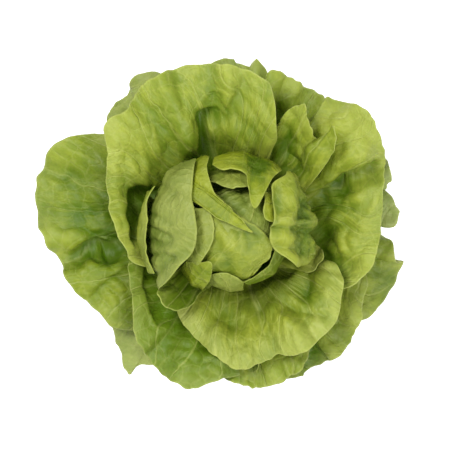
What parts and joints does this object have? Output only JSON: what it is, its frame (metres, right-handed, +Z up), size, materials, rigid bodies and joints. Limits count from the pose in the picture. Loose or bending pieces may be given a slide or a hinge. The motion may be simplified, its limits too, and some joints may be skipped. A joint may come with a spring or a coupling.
{
  "type": "head of lettuce",
  "caption": "Open head of butterhead lettuce with broad waved outer leaves round a heart of curled leaves, resting on its cut stem.",
  "frame": {"origin": "centre of the stem's flat cut face, on the surface that the head rests on", "axes": "+Z up along the stem, +X to the picture's right and +Y to its top"},
  "size_m": [0.2769, 0.2457, 0.1029],
  "materials": {
    "stem": "pale green-white, moist, cut flat",
    "outer_leaf": "mid green leaf, soft sheen, pale veins",
    "large_leaf": "bright yellow-green leaf, soft sheen, pale veins",
    "heart_leaf": "pale yellow-green leaf, soft sheen, pale veins"
  },
  "bodies": {
    "root": {"stem": "stem", "outer_leaf_upper_left_back": "outer_leaf", "outer_leaf_lower_left_back": "outer_leaf", "outer_leaf_right_low": "outer_leaf", "outer_leaf_top_back": "outer_leaf", "outer_leaf_right_back": "outer_leaf", "outer_leaf_lower_right_back": "outer_leaf", "outer_leaf_left": "outer_leaf", "outer_leaf_upper_right": "outer_leaf", "outer_leaf_bottom": "outer_leaf", "leaf_right": "large_leaf", "leaf_lower_left": "large_leaf", "leaf_inner_upper_right": "large_leaf", "leaf_lower_right": "large_leaf", "leaf_upper_left": "large_leaf", "inner_leaf_lower_left": "large_leaf", "inner_leaf_lower_right": "large_leaf", "heart_leaf_outer_left": "heart_leaf", "heart_leaf_left": "heart_leaf", "heart_leaf_top": "heart_leaf", "heart_leaf_right": "heart_leaf", "heart_leaf_tongue": "heart_leaf", "heart_leaf_inner_left": "heart_leaf", "heart_leaf_inner_right": "heart_leaf", "heart_leaf_inner_top": "heart_leaf", "heart_leaf_lip": "heart_leaf", "heart_leaf_low": "heart_leaf", "heart_leaf_low_right": "heart_leaf", "heart_leaf_cap": "heart_leaf", "heart_leaf_core_back": "heart_leaf", "heart_leaf_core": "heart_leaf"}
  },
  "joints": []
}
